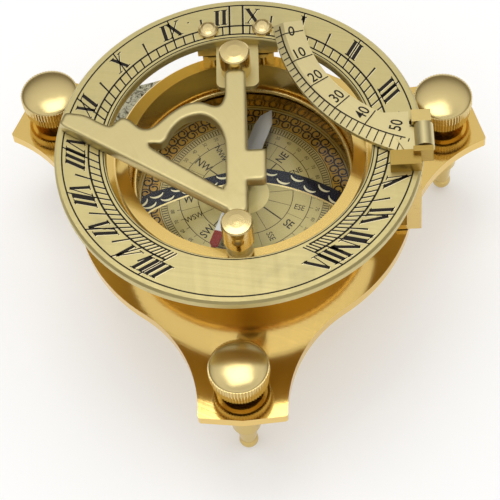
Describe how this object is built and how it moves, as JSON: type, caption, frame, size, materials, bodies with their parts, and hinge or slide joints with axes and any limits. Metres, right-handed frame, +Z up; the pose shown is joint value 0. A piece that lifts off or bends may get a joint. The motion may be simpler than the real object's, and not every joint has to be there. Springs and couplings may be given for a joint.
{
  "type": "sundial compass",
  "caption": "Brass table sundial compass: glazed compass bowl on a lobed base with levelling screws, under a hinged hour ring with folding gnomon and latitude arc.",
  "frame": {"origin": "middle of the base plate's underside, on the axis of the compass bowl", "axes": "+Z up through the glass, +Y towards the hour ring's hinge (dial north), +X towards the latitude arc's hinge (dial east)"},
  "size_m": [0.109, 0.0959, 0.0546],
  "materials": {
    "satin_brass": "satin, fine brushed",
    "polished_brass": "mirror polished",
    "card_brass": "satin, printed and black filled",
    "steel": "plain",
    "needle_metal": "silvered with a red south end",
    "clear_glass": "clear"
  },
  "bodies": {
    "base": {"base_plate": "polished_brass", "compass_bowl": "polished_brass", "compass_card": "card_brass", "needle_pivot": "steel", "glass_cover": "clear_glass", "glass_retainer": "polished_brass", "hinge_bracket": "satin_brass", "hinge_bracket_screws": "satin_brass", "hinge_pin": "steel"},
    "ring": {"hour_ring": "satin_brass", "ring_hinge_leaf": "satin_brass", "ring_leaf_rivets": "polished_brass", "gnomon_bridge": "satin_brass", "north_post": "satin_brass", "south_post": "satin_brass", "gnomon_pivots": "steel", "arc_block": "satin_brass", "arc_ear": "satin_brass", "arc_block_screws": "polished_brass", "arc_hinge_pin": "steel", "ring_prop": "polished_brass"},
    "gnomon": {"gnomon": "satin_brass"},
    "arc": {"latitude_arc": "satin_brass"},
    "needle": {"needle_blade": "needle_metal", "needle_cap": "satin_brass"},
    "front_foot": {"front_screw": "polished_brass"},
    "front_handle": {"front_knob": "satin_brass"},
    "right_foot": {"right_screw": "polished_brass"},
    "right_handle": {"right_knob": "satin_brass"},
    "left_foot": {"left_screw": "polished_brass"},
    "left_handle": {"left_knob": "satin_brass"}
  },
  "joints": [
    {"name": "ring_tilt", "type": "hinge", "parent": "base", "child": "ring", "pos_m": [0, 0.0328, 0.0199], "axis": [-1, 0, 0], "range_deg": [0, 90]},
    {"name": "gnomon_lift", "type": "hinge", "parent": "ring", "child": "gnomon", "pos_m": [-0.0003, 0, 0.0267], "axis": [0, 1, 0], "range_deg": [0, 90]},
    {"name": "arc_swing", "type": "hinge", "parent": "ring", "child": "arc", "pos_m": [0.0399, -0.005, 0.0276], "axis": [0, 1, 0], "range_deg": [0, 90]},
    {"name": "needle_turn", "type": "hinge", "parent": "base", "child": "needle", "pos_m": [-0.0014, 0, 0.0047], "axis": [0, 0, 1], "continuous": true},
    {"name": "front_travel", "type": "slide", "parent": "base", "child": "front_foot", "axis": [0, 0, 1], "range_m": [-0.0016, 0.0016]},
    {"name": "front_turn", "type": "hinge", "parent": "front_foot", "child": "front_handle", "pos_m": [-0.0016, -0.04918, 0.005], "axis": [0, 0, 1], "range_deg": [-720, 720]},
    {"name": "right_travel", "type": "slide", "parent": "base", "child": "right_foot", "axis": [0, 0, 1], "range_m": [-0.0016, 0.0016]},
    {"name": "right_turn", "type": "hinge", "parent": "right_foot", "child": "right_handle", "pos_m": [0.04568, 0.018, 0.005], "axis": [0, 0, 1], "range_deg": [-720, 720]},
    {"name": "left_travel", "type": "slide", "parent": "base", "child": "left_foot", "axis": [0, 0, 1], "range_m": [-0.0016, 0.0016]},
    {"name": "left_turn", "type": "hinge", "parent": "left_foot", "child": "left_handle", "pos_m": [-0.0443, 0.02486, 0.005], "axis": [0, 0, 1], "range_deg": [-720, 720]}
  ],
  "couplings": [
    {"joint": "front_turn", "follows": "front_travel", "rad_per_m": 7854},
    {"joint": "right_turn", "follows": "right_travel", "rad_per_m": 7854},
    {"joint": "left_turn", "follows": "left_travel", "rad_per_m": 7854}
  ]
}
